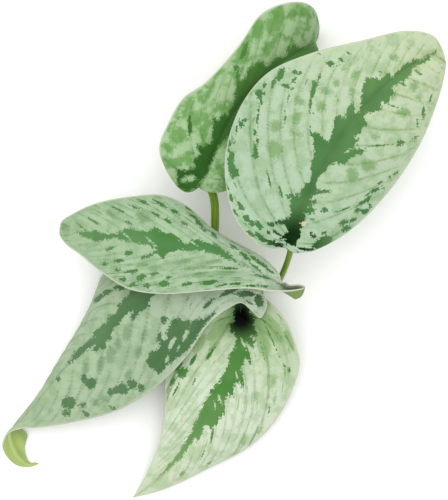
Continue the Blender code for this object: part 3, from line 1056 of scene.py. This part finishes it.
LEFT = BladePlan(
    name="blade_3",
    sinus=(21.2, -11.6, 37),
    midrib=((19.5, -12, 37), (12, -7.5, 39), (3, -3, 41), (-6.5, -0.5, 42.5), (-19, 1.5, 42),
            (-33, 3.5, 39), (-45.5, 5.5, 34), (-55, 7, 28), (-59, 8, 23)),
    left=((23, -12.5, 37), (26.5, -12.5, 37), (28, -13, 38.5), (26.5, -13.5, 40.5), (22.5, -14, 41.5),
          (16, -14, 40.5), (7.5, -13.5, 38), (-6.5, -14.5, 37), (-21, -15.5, 36.5), (-33, -14, 35),
          (-42, -9, 32.5), (-51.5, -1.5, 28), (-56.5, 2, 25), (-59, 5.5, 23.5)),
    right=((20, -10.5, 37), (19.5, -8.5, 36), (15, -3.5, 34.5), (9.2, 0.2, 34), (5.5, 2, 33.5),
           (-4.5, 8, 32), (-13, 15.5, 30), (-22, 19.5, 30), (-33.5, 19, 30.5), (-46, 16.5, 29.5),
           (-54, 13, 26.5), (-58, 10.5, 24.5)),
    lobe=(0.2, 0.08),
    bulge=(0.5, 2.0),
    rolls=((Half.LEFT, 0.17, 0.11, (2.2, -4.2, -6)),),
    zones=(
        ((-54.7, 6.8), (-50, 6.3), (-46.4, 6.8), (-42.5, 5.8), (-37.1, 6.5), (-35.6, 7.6), (-32.4, 7.9),
         (-30.6, 6.8), (-26.3, 6.8), (-24.8, 7.9), (-23.4, 6.8), (-19.1, 6.1), (-16.9, 4.7), (-14.8, 2.5),
         (-13, 1.8), (-11.9, 4), (-7.9, 3.6), (-6.1, 2.2), (-3.2, 2.2), (0.4, -0.4), (2.9, -1.8), (3.6, -3.2),
         (6.1, -5.4), (9.4, -7.2), (11.9, -8.6), (8.3, -6.6), (4.3, -4.6), (1.1, -3.6), (-3.2, -1.6),
         (-7.6, -0.4), (-10.4, 0), (-14, 0), (-17.6, -0.4), (-20.5, -1.4), (-21.6, -3.2), (-24.1, -1.4),
         (-26.3, -2.2), (-29.2, -3.6), (-30.2, -4), (-29.9, -2.5), (-26.3, -1.1), (-24.8, 0), (-27, 1.8),
         (-31.3, 2.5), (-35.6, 3.2), (-40, 4.3), (-43.6, 3.6), (-46.4, 3.2), (-50, 4.7), (-53.6, 5.8)),
    ),
    patches=(
        *marks(Tint.DARK, (-41.2, 0.4, 1.4, 0.6), (-34.5, -1, 1.5, 1.1), (-37.4, -3.9, 1.4, 0.6),
               (-33, -7.6, 1.8, 0.8), (-29.8, -10, 2, 1.3), (-27.8, -12.8, 1.2, 1.1), (-38.5, -7.2, 1.2, 0.6),
               (-36, -10.6, 1.5, 0.7), (-33, -12.6, 1.8, 0.7), (-42.4, -5, 1.8, 0.6), (-21.6, -12, 1.5, 1.1),
               (-19.7, -9.8, 1.2, 0.7), (-24.5, -8.6, 1.5, 0.6), (-13.4, -12.2, 2.4, 0.7),
               (-5.4, -11.7, 3, 0.8), (-1, -12.6, 2.4, 0.5), (4.3, -12.2, 2.4, 0.5), (9.5, -12.8, 2.2, 0.5),
               (14.5, -13.2, 1.8, 0.5), (-29.2, 17.3, 2.6, 0.5), (-23, 16.7, 2.8, 0.6),
               (-17.7, 13.8, 1.8, 0.6), (-32, 15.2, 2.2, 0.4), (-38, 14.6, 2.4, 0.4), (-47.5, 10.6, 2, 0.4),
               (-51.3, 8.2, 1.6, 0.4), (-20, 10.4, 1.4, 0.5), (-24.5, 12.6, 1.3, 0.5), (-34.2, 9.9, 1, 0.5),
               (-11, 11.9, 1.8, 0.5), (-14.6, 9.6, 1.2, 0.4), (-9, 9.4, 2, 0.6), (-7.7, 7.4, 1, 0.4),
               (-12.5, 14.5, 1.6, 0.5), (-3.5, 5.2, 2, 0.5), (7.5, -2.4, 2.6, 0.7), (10.6, -3, 2.2, 0.7),
               (13.6, -5.2, 2.4, 0.7), (16.4, -7.6, 2, 0.6), (11, -5.8, 2.6, 0.5), (3.8, 0.8, 2.4, 0.5),
               (1.5, -6.6, 3.5, 0.4), (14, -9.6, 2.6, 0.4)),
        *marks(Tint.SOFT, (-24.5, -6.4, 2.2, 0.9), (-29.2, 11.9, 2.8, 1.8), (-40.2, 12.6, 2, 1),
               (-14.8, -4.3, 3.5, 1), (-10.4, -6.2, 4, 0.9), (-29.5, -5.2, 2, 0.9), (-4, -4.2, 3.4, 0.7),
               (-9, -8.8, 3.5, 0.9), (0, -8.4, 4, 0.8)),
        *marks(Tint.PALE, (-26.5, 3.2, 2, 0.4), (-35, 5, 1.6, 0.3), (-11, 2.4, 1.6, 0.3)),
    ),
    lead=0.42,
    sweep=1.3,
    dark_base_and_shade_reach=4.0,
    seed=3.0,
)
FRONT_LEFT = BladePlan(
    name="blade_4",
    sinus=(13.3, -14, 21),
    midrib=((11, -14.5, 21), (4, -13.5, 23.5), (-7, -12.5, 26), (-19, -12.5, 27.5), (-30.5, -15.5, 27.5),
            (-40.5, -24.5, 25.5), (-50, -34, 22), (-59.5, -44.5, 17), (-67.5, -54.5, 12),
            (-74.5, -62.5, 7.5), (-79, -67, 5), (-78.5, -71, 3.5), (-76.5, -75.5, 2.5), (-73, -79, 1.5),
            (-68.5, -79, 0.8)),
    left=((13.5, -16, 22), (15.2, -19, 22), (14.8, -22, 20), (13, -24.6, 18.5), (9.5, -21.5, 19.5),
          (6, -19, 22), (1.5, -21, 23), (-5, -26, 22.5), (-14.5, -39.5, 19.5), (-26.5, -51, 17),
          (-39.5, -58.5, 15), (-54, -62.5, 12.5), (-68, -65, 9), (-74.5, -65.5, 7.5), (-79.5, -67.5, 6),
          (-81.5, -71.5, 4.5), (-80, -76, 3), (-76, -79.5, 2), (-71.5, -80, 1.2)),
    right=((12, -12, 20), (9.5, -9, 19), (0.5, -6, 17), (-14, -3.5, 15), (-28.5, -3.5, 13), (-39.5, -5, 11),
           (-44.5, -9, 9), (-47, -15, 8), (-51, -25, 7), (-59.5, -40.5, 5), (-66, -51.5, 4.5),
           (-74.5, -62, 3), (-74.5, -65.5, 1.8), (-72.5, -68, 1.2), (-73.5, -72.5, 1), (-73, -76, 0.8),
           (-71.5, -78.5, 0.8)),
    lobe=(0.11, 0.12),
    bulge=(1.5, 2.5),
    zones=(
        ((-31, -11), (-21, -13), (-24, -15.5), (-26.6, -17.3), (-27, -20.2), (-30.2, -22.3), (-32.8, -25.2),
         (-33.6, -24.4), (-32.9, -22), (-35, -23), (-36.7, -25.8), (-39.6, -28), (-40.8, -32), (-44.5, -34.2),
         (-45.2, -37.2), (-47.8, -36), (-46, -33.4), (-50, -36.6), (-54.7, -40.6), (-56.5, -41.8),
         (-55.8, -40.3), (-54, -36.7), (-50.4, -33.5), (-46.8, -31.7), (-47.2, -29.9), (-45.4, -28.1),
         (-42.5, -25.9), (-41.8, -23.8), (-38.9, -22.7), (-38.2, -20.5), (-37.4, -19.1), (-34.2, -15.8)),
        ((-18, -24.1), (-15.8, -25.2), (-11.5, -25.6), (-7.9, -24.8), (-3.2, -22.7), (-5, -25.2),
         (-8.6, -28.8), (-10.1, -32.4), (-13, -36), (-17.3, -38.9), (-20.9, -41.8), (-23.4, -45),
         (-25.9, -42.5), (-28.1, -40.7), (-26.6, -36.7), (-23.8, -36), (-23, -32.4), (-20.9, -32),
         (-20.2, -28.8), (-19.4, -25.9)),
    ),
    patches=(
        *marks(Tint.DARK, (-21.6, -25.2, 1.5, 1.1), (-23.4, -31.7, 1.8, 0.9), (-5.8, -19.4, 2.4, 0.8),
               (-47.9, -47.9, 2.2, 2), (-50.4, -46, 1.3, 1.1), (-55.8, -54.9, 2.4, 2.3),
               (-56.8, -58.6, 1.2, 1.6), (-50.8, -55.9, 1.1, 1.2), (-36.9, -49.9, 2.2, 2.5),
               (-40.6, -51, 1.5, 1.4), (-33, -48.2, 1.8, 2.1), (-30.2, -49.4, 1.3, 1.4),
               (-49.5, -59, 0.8, 1.8), (-40, -57, 0.6, 1.6), (-59.8, -46.8, 0.9, 0.7),
               (-43.6, -34.4, 1.6, 1.1), (-45, -17.6, 2.4, 1), (-41.8, -15.1, 2, 1), (-37.4, -13.5, 2, 1),
               (12.6, -18.4, 2.6, 1.5), (8, -15.8, 3.4, 1.2), (2.5, -14.6, 4, 0.9), (9.4, -19, 1.6, 0.5)),
        *marks(Tint.SOFT, (-45.9, -54.9, 1.3, 2), (-42.9, -53.9, 1.2, 1.4), (-35, -30, 3, 1.6),
               (-41, -37.4, 3.4, 1.4), (-44.4, -41, 3.6, 1.3), (-31, -36.8, 2.6, 1.2), (-38, -33.6, 2.4, 1.1),
               (-49.7, -42, 2.6, 1.2), (-28.6, -30, 2.4, 1), (-34.4, -44.6, 2, 1)),
        *marks(Tint.PALE, (-13.7, -30.4, 2.6, 0.8), (-18.7, -33.2, 2, 0.8), (-20.5, -39.3, 1.4, 0.6),
               (-16, -34.5, 1.2, 0.4)),
    ),
    dark_base_and_shade_reach=4.0,
    seed=4.0,
)
RIGHT = BladePlan(
    name="blade_5",
    sinus=(22, 0.8, 37),
    midrib=((24, 3, 36), (26.5, 11.5, 38), (30.5, 21.5, 40.5), (36.5, 32.5, 42.5), (44.5, 44.5, 43.5),
            (54.5, 55.5, 42), (65.5, 64.5, 38), (73.5, 69, 34), (79, 66.5, 30)),
    left=((20, 0.8, 37.3), (17, 0.5, 38), (11.5, 2.5, 39.5), (4, 11, 40.5), (0.5, 24, 41), (1, 36.5, 41),
          (6.5, 51.5, 41.5), (15.5, 62, 43), (30, 68.5, 44), (47.5, 73, 43), (64.5, 77, 39),
          (74, 75.5, 35), (77.5, 71, 32)),
    right=((23, -0.2, 37), (25.5, -1, 37), (32.5, 0, 35), (45.5, 7.5, 31.5), (59.5, 22, 30.5),
           (69.5, 37.5, 31), (75, 50.5, 31), (78, 60.5, 30.5)),
    lobe=(0.34, 0.2),
    bulge=(2.0, 2.5),
    zones=(
        ((20.4, 4.2), (21.3, 5.1), (22.8, 7.2), (21.8, 8.8), (19.2, 9.2), (15.6, 8.4), (15.3, 9.6),
         (20.1, 10.6), (22, 11.2), (23.4, 12.6), (24.6, 13.8), (24.1, 15.9), (23.8, 18), (22.2, 20.2),
         (24.6, 20.5), (26.7, 20.1), (27, 18.8), (27.3, 20.7), (28.2, 22.8), (29.1, 23.7), (29.5, 25.2),
         (30.3, 24.1), (31.2, 26.1), (31.3, 30.6), (32.5, 34.9), (32, 39.2), (30.6, 44.5), (32, 41.8),
         (33.8, 42.8), (35.3, 40.7), (37.4, 39.1), (38.5, 40.7), (40, 48.3), (42.1, 48.8), (43.4, 47.2),
         (44.1, 49.9), (46.2, 53), (47.3, 50.9), (47, 49.4), (48.8, 49.9), (49.8, 56.6), (50.8, 62.7),
         (54.4, 61.7), (56, 61.2), (56.5, 64), (57.2, 62.1), (59.6, 63.8), (60.1, 61.7), (62.6, 65.3),
         (66.8, 67.9), (67.5, 70), (68.3, 68.4), (71.9, 68.9), (76.3, 71.5), (73.4, 67.9), (70.9, 66.8),
         (67.8, 65.6), (67.3, 63.2), (64.2, 60.7), (60.6, 58.6), (61.9, 56.2), (59.6, 55.6), (59.4, 53.3),
         (57, 53), (56.5, 50.4), (51.3, 49.2), (50.3, 48), (51.9, 44.7), (49.8, 44), (49.3, 42.2),
         (46.7, 40.1), (48.8, 40.3), (48.3, 38.6), (43.6, 35), (47.2, 36.4), (51.3, 36.6), (50.8, 35.3),
         (45.7, 33.2), (43.1, 30.8), (40.4, 31.4), (37.2, 30), (36.3, 28.2), (34.8, 27), (33.9, 24.9),
         (33, 23.4), (33.3, 21.6), (36, 22.2), (38.7, 21), (34.8, 20.5), (30.9, 19.2), (30.6, 17.8),
         (33.5, 17.6), (33.6, 16.4), (30.4, 16.1), (30.5, 15.2), (33, 14.8), (32.8, 13.4), (28.8, 13.2),
         (29.8, 11.4), (29.1, 10.2), (27.9, 9.6), (28.6, 8.4), (27.6, 7.5), (27.3, 5.1), (26.7, 3.6),
         (25.4, 1.4), (22.4, 2.1), (21.9, 3.6)),
    ),
    patches=(
        *marks(Tint.DARK, (20.6, 63.3, 2.6, 1.3), (17.8, 60.2, 1.5, 0.8), (22.6, 58.9, 0.8, 2.2),
               (25, 61.2, 1.8, 0.7), (25.4, 64.1, 0.7, 1.5), (27.6, 64, 0.3, 1), (13, 56.2, 1.8, 1.6),
               (14.4, 59, 1.5, 0.7), (13.4, 53.6, 1.6, 0.6), (12.6, 50.5, 2.4, 0.35), (12.1, 46.5, 2.6, 0.45),
               (11.2, 42.6, 1.4, 0.7), (12, 39.5, 1.8, 0.4), (11.3, 36, 2.4, 0.8), (11, 33.7, 1, 1.5),
               (6.1, 45.5, 1.5, 1.2), (7.3, 46.8, 0.6, 0.9), (4.5, 43, 2.4, 0.4), (3.8, 39, 0.8, 0.5),
               (2, 38.6, 1.3, 0.5), (1.7, 36.4, 1.4, 0.5), (2.8, 33.4, 2.2, 1), (2.6, 29.6, 3.4, 1.3),
               (4.6, 27.8, 1.4, 0.9), (1.3, 22.5, 3, 0.6), (2.4, 18.5, 1.6, 0.6), (6, 15.6, 1.8, 0.9),
               (4, 13.6, 1.6, 0.6), (8, 11.6, 1.4, 1), (12.4, 9, 1.8, 1.2), (10, 9.6, 1.4, 0.9),
               (9.5, 6, 1.6, 0.9), (12.4, 5.2, 1.8, 0.9), (15.7, 6.3, 0.8, 0.6), (14, 3.6, 1.8, 0.8),
               (17, 2.8, 2, 0.9), (19.6, 2, 2, 0.9), (18.6, 6.3, 1.8, 0.4), (22, 47.6, 2.6, 0.4),
               (23.3, 55, 2.6, 0.3), (34.4, 62.4, 1.8, 0.6), (32.8, 59.6, 1.2, 1.4), (32, 57.2, 2.4, 0.9),
               (31.2, 54, 2, 0.35), (31, 51.2, 2, 0.3), (31.8, 49.2, 0.3, 0.8), (16.2, 25.4, 4.6, 0.3),
               (20.2, 21.4, 2.2, 0.4), (38.4, 66.9, 1, 1.3), (41, 66.3, 0.6, 0.8), (42, 68.5, 0.3, 1.3),
               (45.2, 70.7, 0.6, 0.8), (34.5, 70.5, 0.3, 1.6), (63.2, 38.6, 1.4, 1.3), (57.5, 37.8, 5, 0.3),
               (61, 51.8, 4, 0.3), (64, 59.9, 2.2, 0.3), (69.8, 63.8, 1.6, 0.4), (74.2, 54.2, 0.35, 2.4),
               (71.6, 49.6, 0.4, 2.2), (69.6, 45.4, 0.5, 1.8), (68.8, 40.6, 0.8, 0.5), (56, 24.2, 0.9, 0.5),
               (57, 23.1, 0.4, 0.9), (59.6, 26.2, 0.4, 0.7), (62.1, 27.8, 0.8, 0.4), (54.4, 21.6, 2, 0.5),
               (51.8, 18.6, 1.3, 1.1), (50, 17.3, 1.7, 0.6), (52.4, 16.2, 0.6, 1.3), (50.8, 13.9, 1, 0.8),
               (48.3, 14.4, 1.5, 0.7), (43.6, 14.9, 2.2, 0.3), (36.3, 14.3, 1.7, 0.8), (31.9, 10.8, 0.5, 0.7),
               (31.9, 5.2, 0.7, 0.9), (36.3, 6.3, 1, 0.6), (35.6, 2.9, 3.9, 1.7), (30, 0.2, 3, 0.7),
               (43, 10, 2, 1), (44.3, 7.7, 1.8, 1.1), (46.5, 11, 1.2, 0.7)),
        *marks(Tint.SOFT, (9.4, 56, 1.4, 0.7), (7.8, 53.6, 1, 0.6), (18.8, 44.8, 1.8, 2.4),
               (26.2, 47.8, 2.1, 1.5), (27.6, 53.4, 1.2, 2.3), (35, 51.8, 2, 1.6), (36.5, 57.4, 1.5, 2),
               (40.3, 60.2, 1.2, 1.2), (47.7, 63.2, 2, 1.5), (46.2, 57, 1.2, 1), (43.6, 65.3, 1, 1.2),
               (18.4, 36.4, 3.2, 2.6), (24.3, 43.2, 1.2, 0.7), (26.4, 41.6, 1, 1.8), (61.1, 69.4, 1.3, 1.6),
               (51.9, 30.4, 2.8, 2.2), (46.2, 27.3, 2, 3), (64.7, 49.4, 2.4, 1.6), (54.2, 41, 1.6, 1.2),
               (68.3, 59.1, 1.6, 1.6), (61, 55.3, 0.9, 1.2), (70.1, 54.8, 0.8, 0.8)),
        *marks(Tint.SCAR, (29.8, 10, 2.6, 0.35), (28.4, 9.2, 0.8, 0.5)),
    ),
    seed=5.0,
)


def dress(made: bpy.types.Object, node: str) -> None:
    """Ties a finished piece to the CAD node that it stands for.

    Args:
        made: the piece.
        node: the CAD node.
    """
    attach(made, "root")
    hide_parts(node)
    log.info("%s: %d faces", made.name, len(made.data.polygons))


def main() -> None:
    """Builds the spray and its studio."""
    logging.basicConfig(level=logging.INFO, format="%(name)s: %(message)s")
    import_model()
    blades = (
        # blade_1: dark and base colours darkened, partly as painted shade in its valley under blade_5
        Blade(BACK, BladeFinish(
            silver="A9C796", cool="AFCF9F", warm="ACCA9A", mid="6FA256", bright="B4D2A6", dark="4A7A3A",
            spine="446E3E", dark_base_and_shade="3C6A30", blur=0.13, flecks=0.74, cloudy=0.85)),
        # blade_2: near-black painted shade in the pocket at its base, and painted shade round it
        Blade(FRONT, BladeFinish(
            silver="DCE9D0", cool="B8CFA2", warm="D6E4C4", mid="97B97C", bright="E4EEDA", dark="4E8840",
            spine="4F8A42", dark_base_and_shade="040F02", flecks=0.67, feather=0.7, cloudy=0.4, puffy=0.3, hollow_shade=0.8,
            fade=0.8)),
        Blade(LEFT, BladeFinish(
            silver="B0CBA6", cool="C2CDBB", warm="ACC79E", mid="7FA573", bright="B8D0B3", dark="48803C",
            spine="568854", dark_base_and_shade="5A7A54", under="8FA850", flecks=0.64)),
        # blade_4: its base colour is painted lighter where blade_3 shades it
        Blade(FRONT_LEFT, BladeFinish(
            silver="ACC5A2", cool="D6E4D0", warm="B6CBA4", mid="84A379", bright="BACEB2", under="B9CE78",
            dark="557B50", spine="5E845A", dark_base_and_shade="4A6A3C")),
        Blade(RIGHT),
    )
    for blade in blades:
        dress(blade.build(), blade.plan.name)
    petioles = (
        Petiole("petiole_1", 1.5, (
            (-19.5, -6.2, 3.2), (-18.8, -4.6, 3.6), (-15, -1, 6.5), (-8.5, 2.5, 11), (-4, 5.5, 14.5),
            (-3.2, 12, 18.5), (-4, 20, 22)), BACK, seed=1.0),
        Petiole("petiole_2", 1.4, (
            (-11, -13.9, 3.2), (-10.4, -15.6, 3.3), (-7, -19, 3.6), (-1, -22, 4.6), (3, -23.5, 6.5)),
            FRONT, seed=2.0),
        Petiole("petiole_3", 1.3, (
            (-1, -7.4, 3.2), (-0.4, -5.8, 3.5), (4, -4.6, 6.5), (10, -6, 15.5), (15, -9.5, 26)),
            LEFT, seed=3.0),
        Petiole("petiole_4", 1.4, (
            (12.6, -14.8, 3.3), (12.8, -15.3, 5), (13, -15.4, 10), (12.6, -15, 15.5)), FRONT_LEFT, seed=4.0),
        Petiole("petiole_5", 1.15, (
            (15.3, -11, 3.0), (16.5, -11.3, 3.3), (18.6, -12.3, 5.6), (19.7, -12.2, 9), (20.1, -10.9, 12.5),
            (21.6, -7.2, 20), (22.7, -3.6, 26), (23.4, -0.7, 30)), RIGHT, seed=5.0),
    )
    for petiole in petioles:
        dress(petiole.build(), petiole.name)
    dress(Stem().build(), "stem")
    Studio().build()


if __name__ == "__main__":
    main()
